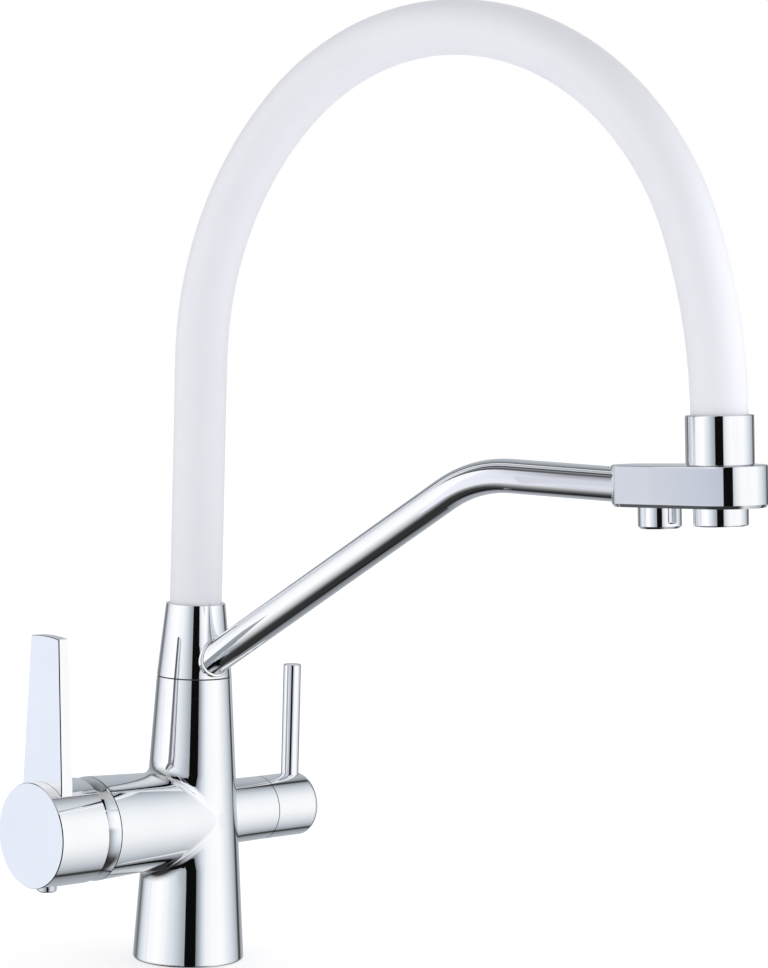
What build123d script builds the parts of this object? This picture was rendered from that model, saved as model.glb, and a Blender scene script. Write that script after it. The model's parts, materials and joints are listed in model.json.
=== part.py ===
from build123d import *
import os
from math import asin, atan, cos, pi, radians, sin, sqrt, tan

os.makedirs("parts", exist_ok=True)

# Kitchen faucet with a mixer on its left, a filtered-water tap on its right and a hose over a fixed arm.
# Millimetres. Origin at the centre of the base on the deck, +Z up, user at -Y, mixer towards -X.

# Clearances
fit_gap = 0.15  # radial room round a piece fixed in another
run_gap = 0.05  # radial running room of a turning shaft
free_gap = 0.4  # room between pieces that move past each other

# Column
base_r = 25.2
base_round = 1.2
seam_r = 16.9
seam_z = 129.0
recess_r = 18.5
recess_depth = 8.0
gasket_in_r = 20.2
gasket_out_r = 23.0
gasket_t = 1.4
port_r = 4.5
port_depth = 14.0
port_x = 8.0
port_y = 8.0
stud_r = 3.4
stud_depth = 14.0
stud_spacing = 28.0
stud_boss_r = 4.9
channel_r = 3.0

# Mixer branch and cartridge, as distances from the column axis towards -X
hub_z = 64.8
branch_r = 23.2
branch_len = 57.6
root_step = 0.25  # branch root smaller than the column there
branch_fillet = 6.0
cart_floor = 20.0
cart_r = 17.5
cart_shoulder = 46.0
cart_neck_r = 13.5
cart_base_t = 4.0
cavity_r = 13.6
seal_t = 1.0
seal_wall = 1.2
nut_r = 20.3
nut_out = 3.0
seam_gap = 0.5  # shadow line between branch and dome
disc_t = 3.0
disc_moving_r = 9.5
carrier_plate_t = 4.0
carrier_width = 8.4
carrier_height = 8.0
turret_r = 11.0
turret_start = 38.0
slot_width = 9.2
slot_height = 16.4
pivot_inset = 5.6
pin_r = 1.5
stem_r = 4.0
stem_back = 3.5
tail_len = 8.0
tail_r = 1.6
ball_r = 2.6
dome_t = 2.0
dome_hole_r = 15.0

# Mixer handle
hub_clear = 5.6
hub_solid = 14.1
hub_len = 25.3
hub_r = 23.3
hub_skin = 2.0
hub_front_t = 4.0
handle_edge_face = 0.3  # bevel of the handle's front edges, on the front face
handle_edge_side = 0.42  # and on the sides
blade_inset = 5.7
blade_t = 6.0
blade_tip_t = 5.0
blade_root_z = 10.0
blade_shoulder_z = 21.5
blade_top = 87.0
blade_crown = 0.7
blade_width = 28.0
blade_tip_width = 20.0
plug_inset = 9.5
plug_r = 4.3
plug_out = 2.2
plug_depth = 4.0
plug_edge = 0.5
set_screw_r = 2.5

# Filter branch, headwork and handle, as distances towards +X
filter_root_r = 15.0
filter_end_r = 14.5
filter_len = 40.4
filter_floor = 14.0
valve_r = 9.8
valve_neck_r = 7.0
valve_neck_len = 5.0
valve_cavity_r = 7.6
valve_seal_t = 2.5
spindle_r = 4.0
spindle_flange_t = 3.0
spindle_end = 53.6
filter_hub_r = 14.5
filter_hub_end = 65.2
filter_hub_wall = 47.5
filter_hub_skin = 2.6
filter_hub_round = 3.0
rod_r = 4.05
rod_dist = 58.7
rod_root_z = 3.0
rod_top = 65.6
rod_edge = 0.35
filter_screw_r = 2.0
filter_screw_dist = 50.6

# Swivel post, seam and collar
slip_t = 0.6
slip_inset = 0.6
post_r = 11.0
post_bore_r = 5.0
post_depth = 15.0
post_top = 23.8
ring_t = 1.6
ring_low = 4.2
ring_high = 17.4
clip_t = 1.0
clip_low = 21.6
clip_out = 0.55
annulus_h = 5.0
annulus_depth = 2.0
filter_way_r = 1.6
filter_way_x = 7.0
collar_h = 32.6
rim_r = 13.4
pad_wall = 0.8
pad_h = 0.9
pad_round = 0.6

# Arm and head; the spout stands turned from -Y towards +X
spout_turn = 11.0
reach = 273.4
arm_r = 7.3
arm_wall = 1.2
arm_side = 3.0  # foot off the column axis, towards the mixer
arm_foot = -0.5
arm_floor = 0.8
arm_knee = 153.2
arm_rise = 0.3
arm_bend_r = 60.0
arm_seat_r = 13.2
head_z = 230.8
head_tilt = 3.25  # head raised towards the outlets, in degrees
block_h = 17.2
block_far_r = 16.0
block_far_offset = 4.0
block_near_r = 10.0
block_span = 40.3
block_edge = 0.6
block_low_rise = 1.4  # bevel under the block, on its sides
block_low_run = 1.1  # and on its bottom
arm_socket = 5.0
ferrule_r = 14.05
ferrule_h = 20.3
ferrule_floor = 3.0
ferrule_edge = 0.5

# Hose
hose_r = 11.75
hose_wall = 3.4
liner_wall = 2.2
hose_socket_gap = 0.2
hose_left_r1 = 155.5
hose_left_turn = 46.0
hose_left_r2 = 125.5
hose_right_r2 = 240.0
hose_right_turn = 21.5
hose_drop = 0.5
nipple_flange_t = 2.0
nipple_barb = 12.0
nipple_wall = 1.4
nipple_plug_r = 6.0
nipple_plug = 10.0
nipple_foot = 10.0
nipple_ring_t = 0.8

# Outlets
outlet_spacing = 28.95
nozzle_r = 9.05
nozzle_h = 8.9
nozzle_way_r = 2.4
nozzle_bore_r = 5.5
nozzle_stub_r = 7.0
nozzle_stub = 4.0
nozzle_edge = 1.0
aerator_r = 11.3
aerator_h = 7.45
aerator_bore_r = 8.0
aerator_stub_r = 9.35
aerator_stub = 5.0
aerator_edge = 0.5
lip = 0.8
insert_t = 3.0
insert_hole_r = 1.0
insert_ring_in = 2.9
insert_ring_out = 5.8
washer_t = 1.4

# Places worked out from the sizes above
slip_top = seam_z + slip_t
collar_top = slip_top + collar_h
post_z = seam_z - post_depth
post_end = seam_z + post_top
pivot_dist = branch_len - pivot_inset
pivot = (-pivot_dist, 0, hub_z)
column_r = base_r + (seam_r - base_r) * hub_z / seam_z
branch_root_r = column_r - root_step
dome_start = branch_len + seam_gap
dome_r = sqrt(branch_r**2 + (dome_start - pivot_dist) ** 2)
dome_end = pivot_dist + sqrt(dome_r**2 - dome_hole_r**2)
hub_wall = dome_end + hub_clear
hub_face = hub_wall + hub_solid
hub_rear = hub_face - hub_len
hub_in_r = hub_r - hub_skin
blade_front = hub_face - blade_inset
plug_dist = hub_face - plug_inset
s_x = sin(radians(spout_turn))
s_y = -cos(radians(spout_turn))
spout_plane = Plane(origin=(0, 0, 0), x_dir=(s_x, s_y, 0), z_dir=(s_y, -s_x, 0))
arm_run = sqrt(reach**2 + arm_side**2)
a_x = (reach * s_x - arm_side * s_y) / arm_run
a_y = (reach * s_y + arm_side * s_x) / arm_run
foot_x = arm_side * s_y
foot_y = -arm_side * s_x
route_plane = Plane(origin=(foot_x, foot_y, 0), x_dir=(a_x, a_y, 0), z_dir=(a_y, -a_x, 0))
arm_z = head_z + arm_rise
arm_foot_z = slip_top + arm_foot
arm_angle = atan((arm_z - arm_foot_z) / arm_knee)
arm_dir = (a_x * cos(arm_angle), a_y * cos(arm_angle), sin(arm_angle))
arm_plane = Plane(origin=(foot_x, foot_y, arm_foot_z), z_dir=arm_dir)
arm_port_z = arm_foot_z + tan(arm_angle) * arm_seat_r
pad_r = arm_r + fit_gap + pad_wall
block_top = head_z + block_h / 2
block_bottom = head_z - block_h / 2
block_far_u = arm_run + block_far_offset
block_near_u = arm_run - block_span
nozzle_u = arm_run - outlet_spacing
hinge_u = block_near_u - block_near_r
arm_end_u = hinge_u + arm_socket
tilt_cos = cos(radians(head_tilt))
tilt_sin = sin(radians(head_tilt))
head_x = Vector(a_x * tilt_cos, a_y * tilt_cos, tilt_sin)
head_up = Vector(-a_x * tilt_sin, -a_y * tilt_sin, tilt_cos)
head_joint = Vector(foot_x + a_x * hinge_u, foot_y + a_y * hinge_u, head_z)
head_zero = head_joint - head_x * hinge_u - head_up * head_z
head_plane = Plane(origin=head_zero, x_dir=head_x, z_dir=(a_y, -a_x, 0))
head_axis = Axis(head_zero + head_x * arm_run, head_up)
liner_r = hose_r - hose_wall - fit_gap
liner_in_r = liner_r - liner_wall
hose_socket_r = hose_r + hose_socket_gap
disc_face = cart_floor + seal_t + cart_base_t
moving_face = disc_face + disc_t
carrier_face = moving_face + disc_t
ball_dist = pivot_dist - tail_len
carrier_end = ball_dist + tail_r
valve_face = filter_floor + valve_seal_t
valve_moving = valve_face + disc_t
valve_flange = valve_moving + disc_t

hub_axis = Axis((0, 0, hub_z), (1, 0, 0))


def plan(z):
    # cross plane of the tilted head; x runs along the arm, from over its foot to the outlets
    return Plane(origin=head_zero + head_up * z, x_dir=head_x, z_dir=head_up)


def outlet_point(z):
    # point of the outlets' axis at a level of the head, in the spout plane
    place = head_zero + head_x * arm_run + head_up * z
    return (place.X * s_x + place.Y * s_y, place.Z)


def turn(start, heading, radius, angle):
    # middle and end of an arc that turns right from the heading, all in degrees from the level
    cx = start[0] + radius * sin(radians(heading))
    cz = start[1] - radius * cos(radians(heading))
    points = []
    for part in (angle / 2, angle):
        h = radians(heading - part)
        points.append((cx - radius * sin(h), cz + radius * cos(h)))
    return points


# Column: cast body with its two branches, water ways, bores and the seat on the deck
with BuildPart() as column_body:
    with BuildSketch(Plane.XZ):
        with BuildLine():
            Polyline((0, 0), (base_r, 0), (seam_r, seam_z), (0, seam_z), close=True)
        make_face()
    revolve(axis=Axis.Z)
    with BuildSketch(Plane.XZ):
        with BuildLine():
            Polyline(
                (0, hub_z), (0, hub_z + branch_root_r),
                (-branch_len, hub_z + branch_r), (-branch_len, hub_z), close=True,
            )
        make_face()
    revolve(axis=hub_axis)
    junction = [edge for edge in column_body.edges(Select.NEW) if edge.geom_type != GeomType.CIRCLE]
    fillet(junction, branch_fillet)
    fillet(column_body.edges().sort_by(Axis.Z)[0], base_round)
    with BuildSketch(Plane.XZ):
        with BuildLine():
            Polyline(
                (0, hub_z), (0, hub_z + filter_root_r),
                (filter_len, hub_z + filter_end_r), (filter_len, hub_z), close=True,
            )
        make_face()
    revolve(axis=hub_axis)
    # seat: recess for the ports round two stud bosses and a groove for the gasket
    with BuildSketch(Plane.XY):
        Circle(recess_r)
        with Locations((0, stud_spacing / 2), (0, -stud_spacing / 2)):
            Circle(stud_boss_r, mode=Mode.SUBTRACT)
    extrude(amount=recess_depth, mode=Mode.SUBTRACT)
    with BuildSketch(Plane.XY):
        Circle(gasket_out_r + fit_gap)
        Circle(gasket_in_r - fit_gap, mode=Mode.SUBTRACT)
    extrude(amount=gasket_t, mode=Mode.SUBTRACT)
    with BuildSketch(Plane.XY.offset(recess_depth)):
        with Locations((-port_x, port_y), (-port_x, -port_y), (port_x, 0)):
            Circle(port_r)
    extrude(amount=port_depth, mode=Mode.SUBTRACT)
    with BuildSketch(Plane.XY):
        with Locations((0, stud_spacing / 2), (0, -stud_spacing / 2)):
            Circle(stud_r)
    extrude(amount=recess_depth + stud_depth, mode=Mode.SUBTRACT)
    # mixer bore, stepped for the nut
    with BuildSketch(Plane.XZ):
        with BuildLine():
            Polyline(
                (-cart_floor, hub_z), (-cart_floor, hub_z + cart_r + fit_gap),
                (-cart_shoulder, hub_z + cart_r + fit_gap), (-cart_shoulder, hub_z + nut_r + fit_gap),
                (-branch_len, hub_z + nut_r + fit_gap), (-branch_len, hub_z), close=True,
            )
        make_face()
    revolve(axis=hub_axis, mode=Mode.SUBTRACT)
    # filter bore
    with BuildSketch(Plane.YZ.offset(filter_floor)):
        with Locations((0, hub_z)):
            Circle(valve_r + fit_gap)
    extrude(amount=filter_len - filter_floor, mode=Mode.SUBTRACT)
    # hot and cold ways up to the cartridge, mixed way to the post
    with BuildSketch(Plane.XY.offset(recess_depth)):
        with Locations((-port_x, port_y), (-port_x, -port_y)):
            Circle(channel_r)
    extrude(amount=hub_z - port_y - recess_depth, mode=Mode.SUBTRACT)
    with BuildSketch(Plane.YZ.offset(-cart_floor)):
        with Locations((port_y, hub_z - port_y), (-port_y, hub_z - port_y)):
            Circle(channel_r)
    extrude(amount=cart_floor - port_x, mode=Mode.SUBTRACT)
    with BuildSketch(Plane.YZ.offset(-cart_floor)):
        with Locations((0, hub_z + port_y)):
            Circle(channel_r)
    extrude(amount=cart_floor, mode=Mode.SUBTRACT)
    with BuildSketch(Plane.XY.offset(hub_z + port_y)):
        Circle(channel_r)
    extrude(amount=post_z - hub_z - port_y, mode=Mode.SUBTRACT)
    # filter ways
    with BuildSketch(Plane.XY.offset(recess_depth)):
        with Locations((port_x, 0)):
            Circle(channel_r)
    extrude(amount=hub_z - recess_depth, mode=Mode.SUBTRACT)
    with BuildSketch(Plane.YZ.offset(port_x)):
        with Locations((0, hub_z)):
            Circle(channel_r)
    extrude(amount=filter_floor - port_x, mode=Mode.SUBTRACT)
    with BuildSketch(Plane.YZ.offset(filter_way_x)):
        with Locations((0, hub_z + valve_cavity_r - filter_way_r)):
            Circle(filter_way_r)
    extrude(amount=filter_floor - filter_way_x, mode=Mode.SUBTRACT)
    with BuildSketch(Plane.XY.offset(hub_z + valve_cavity_r - filter_way_r)):
        with Locations((filter_way_x, 0)):
            Circle(filter_way_r)
    extrude(amount=post_z - hub_z - valve_cavity_r + filter_way_r, mode=Mode.SUBTRACT)
    # socket of the swivel post
    with BuildSketch(Plane.XY.offset(post_z)):
        Circle(post_r + fit_gap)
    extrude(amount=post_depth, mode=Mode.SUBTRACT)
column_body.part.label = "column_body"
export_step(column_body.part, "parts/column_body.step")

with BuildPart() as base_gasket:
    with BuildSketch(Plane.XY):
        Circle(gasket_out_r)
        Circle(gasket_in_r, mode=Mode.SUBTRACT)
    extrude(amount=gasket_t)
base_gasket.part.label = "base_gasket"
export_step(base_gasket.part, "parts/base_gasket.step")

# Swivel post with O-ring grooves, a ring way for filtered water and a clip groove
with BuildPart() as swivel_post:
    with BuildSketch(Plane.XY.offset(post_z)):
        Circle(post_r)
        Circle(post_bore_r, mode=Mode.SUBTRACT)
        with Locations((filter_way_x, 0)):
            Circle(filter_way_r, mode=Mode.SUBTRACT)
    extrude(amount=arm_port_z - post_z)
    with BuildSketch(Plane.XY.offset(arm_port_z)):
        Circle(post_r)
        Circle(post_bore_r, mode=Mode.SUBTRACT)
    extrude(amount=post_end - arm_port_z)
    with BuildSketch(Plane.XY.offset(arm_port_z - annulus_h / 2)):
        Circle(post_r)
        Circle(post_r - annulus_depth, mode=Mode.SUBTRACT)
    extrude(amount=annulus_h, mode=Mode.SUBTRACT)
    with BuildSketch(Plane.YZ.offset(filter_way_x)):
        with Locations((0, arm_port_z - filter_way_r)):
            Circle(filter_way_r)
    extrude(amount=post_r - filter_way_x, mode=Mode.SUBTRACT)
    for z in (ring_low, ring_high):
        with BuildSketch(Plane.XY.offset(seam_z + z - ring_t / 2 - fit_gap)):
            Circle(post_r)
            Circle(post_r - ring_t - free_gap, mode=Mode.SUBTRACT)
        extrude(amount=ring_t + 2 * fit_gap, mode=Mode.SUBTRACT)
    with BuildSketch(Plane.XY.offset(seam_z + clip_low)):
        Circle(post_r)
        Circle(post_r - clip_t, mode=Mode.SUBTRACT)
    extrude(amount=clip_t, mode=Mode.SUBTRACT)
swivel_post.part.label = "swivel_post"
export_step(swivel_post.part, "parts/swivel_post.step")

with BuildPart() as post_o_rings:
    for z in (ring_low, ring_high):
        with BuildSketch(Plane.XZ):
            with Locations((post_r + run_gap - free_gap - ring_t / 2, seam_z + z)):
                Circle(ring_t / 2)
        revolve(axis=Axis.Z)
post_o_rings.part.label = "post_o_rings"
export_step(post_o_rings.part, "parts/post_o_rings.step")

with BuildPart() as post_clip:
    with BuildSketch(Plane.XY.offset(seam_z + clip_low)):
        Circle(post_r + clip_out)
        Circle(post_r - clip_t + fit_gap, mode=Mode.SUBTRACT)
        with Locations((0, post_r)):
            Rectangle(2 * post_bore_r, post_r, mode=Mode.SUBTRACT)
    extrude(amount=clip_t)
post_clip.part.label = "post_clip"
export_step(post_clip.part, "parts/post_clip.step")

with BuildPart() as slip_ring:
    with BuildSketch(Plane.XY.offset(seam_z)):
        Circle(seam_r - slip_inset)
        Circle(post_r + free_gap, mode=Mode.SUBTRACT)
    extrude(amount=slip_t)
slip_ring.part.label = "slip_ring"
export_step(slip_ring.part, "parts/slip_ring.step")

# Mixer cartridge
with BuildPart() as cartridge_seals:
    with BuildSketch(Plane.YZ.offset(-cart_floor)):
        with Locations((port_y, hub_z - port_y), (-port_y, hub_z - port_y), (0, hub_z + port_y)):
            Circle(channel_r + seal_wall)
            Circle(channel_r, mode=Mode.SUBTRACT)
    extrude(amount=-seal_t)
cartridge_seals.part.label = "cartridge_seals"
export_step(cartridge_seals.part, "parts/cartridge_seals.step")

with BuildPart() as cartridge_casing:
    with BuildSketch(Plane.XZ):
        with BuildLine():
            Polyline(
                (-cart_floor - seal_t, hub_z), (-cart_floor - seal_t, hub_z + cart_r),
                (-cart_shoulder, hub_z + cart_r), (-cart_shoulder, hub_z + cart_neck_r),
                (-branch_len, hub_z + cart_neck_r), (-branch_len, hub_z + turret_r + run_gap),
                (-turret_start, hub_z + turret_r + run_gap), (-turret_start, hub_z + cavity_r),
                (-disc_face, hub_z + cavity_r), (-disc_face, hub_z), close=True,
            )
        make_face()
    revolve(axis=hub_axis)
    with BuildSketch(Plane.YZ.offset(-cart_floor - seal_t)):
        with Locations((port_y, hub_z - port_y), (-port_y, hub_z - port_y), (0, hub_z + port_y)):
            Circle(channel_r)
    extrude(amount=-cart_base_t, mode=Mode.SUBTRACT)
cartridge_casing.part.label = "cartridge_casing"
export_step(cartridge_casing.part, "parts/cartridge_casing.step")

with BuildPart() as ceramic_disc_fixed:
    with BuildSketch(Plane.YZ.offset(-disc_face)):
        with Locations((0, hub_z)):
            Circle(cavity_r - fit_gap)
        with Locations((port_y, hub_z - port_y), (-port_y, hub_z - port_y), (0, hub_z + port_y)):
            Circle(channel_r, mode=Mode.SUBTRACT)
    extrude(amount=-disc_t)
ceramic_disc_fixed.part.label = "ceramic_disc_fixed"
export_step(ceramic_disc_fixed.part, "parts/ceramic_disc_fixed.step")

with BuildPart() as ceramic_disc_moving:
    with BuildSketch(Plane.YZ.offset(-moving_face)):
        with Locations((0, hub_z)):
            Circle(disc_moving_r)
    extrude(amount=-disc_t)
    with BuildSketch(Plane.YZ.offset(-moving_face)):
        with Locations((0, hub_z)):
            Rectangle(carrier_width, carrier_height / 2)
    extrude(amount=-disc_t / 2, mode=Mode.SUBTRACT)
ceramic_disc_moving.part.label = "ceramic_disc_moving"
export_step(ceramic_disc_moving.part, "parts/ceramic_disc_moving.step")

# Carrier: plate behind the moving disc and a block with a round pocket for the stem's ball
with BuildPart() as disc_carrier:
    with BuildSketch(Plane.YZ.offset(-carrier_face)):
        with Locations((0, hub_z)):
            Circle(disc_moving_r)
    extrude(amount=-carrier_plate_t)
    with BuildSketch(Plane.YZ.offset(-carrier_face)):
        with Locations((0, hub_z)):
            Rectangle(carrier_width, carrier_height)
    extrude(amount=-(carrier_end - carrier_face))
    with BuildSketch(Plane.YZ.offset(-carrier_end)):
        with Locations((0, hub_z)):
            Circle(ball_r + free_gap)
    extrude(amount=tail_r + ball_r + free_gap, mode=Mode.SUBTRACT)
disc_carrier.part.label = "disc_carrier"
export_step(disc_carrier.part, "parts/disc_carrier.step")

with BuildPart() as cartridge_turret:
    with BuildSketch(Plane.YZ.offset(-turret_start)):
        with Locations((0, hub_z)):
            Circle(turret_r)
            Rectangle(slot_width, slot_height, mode=Mode.SUBTRACT)
    extrude(amount=-(branch_len - turret_start))
    with BuildSketch(Plane.XZ.offset(-turret_r)):
        with Locations((-pivot_dist, hub_z)):
            Circle(pin_r + fit_gap)
    extrude(amount=2 * turret_r, mode=Mode.SUBTRACT)
cartridge_turret.part.label = "cartridge_turret"
export_step(cartridge_turret.part, "parts/cartridge_turret.step")

pin_half = sqrt(turret_r**2 - pin_r**2) - free_gap
with BuildPart() as pivot_pin:
    with BuildSketch(Plane.XZ.offset(-pin_half)):
        with Locations((-pivot_dist, hub_z)):
            Circle(pin_r)
    extrude(amount=2 * pin_half)
pivot_pin.part.label = "pivot_pin"
export_step(pivot_pin.part, "parts/pivot_pin.step")

# Stem: round bar through the pin, with a thin tail that ends in a ball
with BuildPart() as lever_stem:
    with BuildSketch(Plane.YZ.offset(-pivot_dist + stem_back)):
        with Locations((0, hub_z)):
            Circle(stem_r)
    extrude(amount=-(hub_face - hub_front_t - pivot_dist + stem_back))
    with BuildSketch(Plane.YZ.offset(-pivot_dist)):
        with Locations((0, hub_z)):
            Circle(tail_r)
    extrude(amount=tail_len)
    with Locations((-ball_dist, 0, hub_z)):
        Sphere(ball_r)
    with BuildSketch(Plane.XZ.offset(-stem_r)):
        with Locations((-pivot_dist, hub_z)):
            Circle(pin_r + run_gap)
    extrude(amount=2 * stem_r, mode=Mode.SUBTRACT)
lever_stem.part.label = "lever_stem"
export_step(lever_stem.part, "parts/lever_stem.step")

with BuildPart() as cartridge_nut:
    with BuildSketch(Plane.YZ.offset(-cart_shoulder)):
        with Locations((0, hub_z)):
            Circle(nut_r)
            Circle(cart_neck_r + fit_gap, mode=Mode.SUBTRACT)
    extrude(amount=-(branch_len + nut_out - cart_shoulder))
cartridge_nut.part.label = "cartridge_nut"
export_step(cartridge_nut.part, "parts/cartridge_nut.step")

# Dome cover: spherical zone about the handle's tilt pivot
dome_in_r = dome_r - dome_t
dome_mid = (asin(branch_r / dome_r) + asin(dome_hole_r / dome_r)) / 2
with BuildPart() as dome_cover:
    with BuildSketch(Plane.XZ):
        with BuildLine():
            Line((-dome_start, hub_z), (-dome_start, hub_z + branch_r))
            ThreePointArc(
                (-dome_start, hub_z + branch_r),
                (-pivot_dist - dome_r * cos(dome_mid), hub_z + dome_r * sin(dome_mid)),
                (-dome_end, hub_z + dome_hole_r),
            )
            Polyline((-dome_end, hub_z + dome_hole_r), (-dome_end, hub_z), (-dome_start, hub_z))
        make_face()
    revolve(axis=hub_axis)
    with BuildSketch(Plane.YZ.offset(-branch_len)):
        with Locations((0, hub_z)):
            Circle(nut_r + fit_gap)
    extrude(amount=-nut_out, mode=Mode.SUBTRACT)
    with BuildSketch(Plane.YZ.offset(-branch_len)):
        with Locations((0, hub_z)):
            Circle(dome_hole_r)
    extrude(amount=-(dome_end - branch_len), mode=Mode.SUBTRACT)
    with Locations(pivot):
        Sphere(dome_in_r, mode=Mode.SUBTRACT)
dome_cover.part.label = "dome_cover"
export_step(dome_cover.part, "parts/dome_cover.step")

# Mixer handle: cup-shaped hub, blade, set screw and index plug
with BuildPart() as mixer_hub:
    with BuildSketch(Plane.YZ.offset(-hub_rear)):
        with Locations((0, hub_z)):
            Circle(hub_r)
    extrude(amount=-(hub_face - hub_rear))
    hub_front = mixer_hub.faces().sort_by(Axis.X)[0]
    chamfer(hub_front.edges(), handle_edge_face, handle_edge_side, reference=hub_front)
    with BuildSketch(Plane.YZ.offset(-hub_rear)):
        with Locations((0, hub_z)):
            Circle(hub_in_r)
    extrude(amount=-(hub_wall - hub_rear), mode=Mode.SUBTRACT)
    with BuildSketch(Plane.YZ.offset(-hub_wall)):
        with Locations((0, hub_z)):
            Circle(stem_r + fit_gap)
    extrude(amount=-(hub_face - hub_front_t - hub_wall), mode=Mode.SUBTRACT)
    with BuildSketch(Plane.XY.offset(hub_z + blade_root_z)):
        with Locations((-blade_front + blade_t / 2, 0)):
            Rectangle(blade_t + 2 * fit_gap, blade_width + 2 * fit_gap)
    extrude(amount=hub_r, mode=Mode.SUBTRACT)
    with BuildSketch(Plane.XY.offset(hub_z - hub_r)):
        with Locations((-plug_dist, 0)):
            Circle(plug_r + fit_gap)
    extrude(amount=plug_depth, mode=Mode.SUBTRACT)
    with BuildSketch(Plane.XY.offset(hub_z - hub_r)):
        with Locations((-plug_dist, 0)):
            Circle(set_screw_r + fit_gap)
    extrude(amount=hub_r, mode=Mode.SUBTRACT)
mixer_hub.part.label = "mixer_hub"
export_step(mixer_hub.part, "parts/mixer_hub.step")

with BuildPart() as mixer_blade:
    with BuildSketch(Plane.YZ.offset(-blade_front)):
        with BuildLine():
            Polyline(
                (blade_tip_width / 2, hub_z + blade_top), (blade_width / 2, hub_z + blade_shoulder_z),
                (blade_width / 2, hub_z + blade_root_z), (-blade_width / 2, hub_z + blade_root_z),
                (-blade_width / 2, hub_z + blade_shoulder_z), (-blade_tip_width / 2, hub_z + blade_top),
            )
            ThreePointArc(
                (-blade_tip_width / 2, hub_z + blade_top), (0, hub_z + blade_top + blade_crown),
                (blade_tip_width / 2, hub_z + blade_top),
            )
        make_face()
    extrude(amount=blade_t)
    with BuildSketch(Plane.XZ.offset(-blade_width)):
        with BuildLine():
            Polyline(
                (-blade_front + blade_t, hub_z + hub_r),
                (-blade_front + blade_tip_t, hub_z + blade_top + blade_crown),
                (-blade_front + blade_t, hub_z + blade_top + blade_crown), close=True,
            )
        make_face()
    extrude(amount=2 * blade_width, mode=Mode.SUBTRACT)
    blade_face = mixer_blade.faces().sort_by(Axis.X)[0]
    blade_outline = blade_face.edges().sort_by(Axis.Z)[1:]
    chamfer(blade_outline, handle_edge_face, handle_edge_side, reference=blade_face)
mixer_blade.part.label = "mixer_blade"
export_step(mixer_blade.part, "parts/mixer_blade.step")

with BuildPart() as mixer_set_screw:
    with BuildSketch(Plane.XY.offset(hub_z - hub_r + plug_depth + fit_gap)):
        with Locations((-plug_dist, 0)):
            Circle(set_screw_r)
    extrude(amount=hub_r - plug_depth - stem_r - 2 * fit_gap)
    with BuildSketch(Plane.XY.offset(hub_z - hub_r + plug_depth + fit_gap)):
        with Locations((-plug_dist, 0)):
            RegularPolygon(set_screw_r / 2, 6)
    extrude(amount=set_screw_r, mode=Mode.SUBTRACT)
mixer_set_screw.part.label = "mixer_set_screw"
export_step(mixer_set_screw.part, "parts/mixer_set_screw.step")

with BuildPart() as index_plug:
    with BuildSketch(Plane.XY.offset(hub_z - hub_r - plug_out)):
        with Locations((-plug_dist, 0)):
            Circle(plug_r)
    extrude(amount=plug_out + plug_depth - fit_gap)
    chamfer(index_plug.edges().sort_by(Axis.Z)[0], plug_edge)
index_plug.part.label = "index_plug"
export_step(index_plug.part, "parts/index_plug.step")

# Filter headwork
with BuildPart() as filter_valve_body:
    with BuildSketch(Plane.YZ.offset(filter_floor)):
        with Locations((0, hub_z)):
            Circle(valve_r)
    extrude(amount=filter_len - filter_floor)
    with BuildSketch(Plane.YZ.offset(filter_len)):
        with Locations((0, hub_z)):
            Circle(valve_neck_r)
    extrude(amount=valve_neck_len)
    with BuildSketch(Plane.YZ.offset(filter_floor)):
        with Locations((0, hub_z)):
            Circle(valve_cavity_r)
    extrude(amount=valve_flange + spindle_flange_t + free_gap - filter_floor, mode=Mode.SUBTRACT)
    with BuildSketch(Plane.YZ.offset(filter_floor)):
        with Locations((0, hub_z)):
            Circle(spindle_r + run_gap)
    extrude(amount=filter_len + valve_neck_len - filter_floor, mode=Mode.SUBTRACT)
filter_valve_body.part.label = "filter_valve_body"
export_step(filter_valve_body.part, "parts/filter_valve_body.step")

with BuildPart() as filter_valve_seal:
    with BuildSketch(Plane.YZ.offset(filter_floor)):
        with Locations((0, hub_z)):
            Circle(valve_cavity_r - fit_gap)
            Circle(channel_r + fit_gap, mode=Mode.SUBTRACT)
    extrude(amount=valve_seal_t)
filter_valve_seal.part.label = "filter_valve_seal"
export_step(filter_valve_seal.part, "parts/filter_valve_seal.step")

with BuildPart() as filter_disc_fixed:
    with BuildSketch(Plane.YZ.offset(valve_face)):
        with Locations((0, hub_z)):
            Circle(valve_cavity_r - fit_gap)
        with Locations((0, hub_z + valve_cavity_r / 2), (0, hub_z - valve_cavity_r / 2)):
            Circle(filter_way_r, mode=Mode.SUBTRACT)
    extrude(amount=disc_t)
filter_disc_fixed.part.label = "filter_disc_fixed"
export_step(filter_disc_fixed.part, "parts/filter_disc_fixed.step")

with BuildPart() as filter_disc_moving:
    with BuildSketch(Plane.YZ.offset(valve_moving)):
        with Locations((0, hub_z)):
            Circle(valve_cavity_r - free_gap)
        with Locations((valve_cavity_r / 2, hub_z), (-valve_cavity_r / 2, hub_z)):
            Circle(filter_way_r, mode=Mode.SUBTRACT)
    extrude(amount=disc_t)
filter_disc_moving.part.label = "filter_disc_moving"
export_step(filter_disc_moving.part, "parts/filter_disc_moving.step")

with BuildPart() as filter_spindle:
    with BuildSketch(Plane.YZ.offset(valve_flange)):
        with Locations((0, hub_z)):
            Circle(valve_cavity_r - free_gap)
    extrude(amount=spindle_flange_t)
    with BuildSketch(Plane.YZ.offset(valve_flange)):
        with Locations((0, hub_z)):
            Circle(spindle_r)
    extrude(amount=spindle_end - valve_flange)
filter_spindle.part.label = "filter_spindle"
export_step(filter_spindle.part, "parts/filter_spindle.step")

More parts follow.
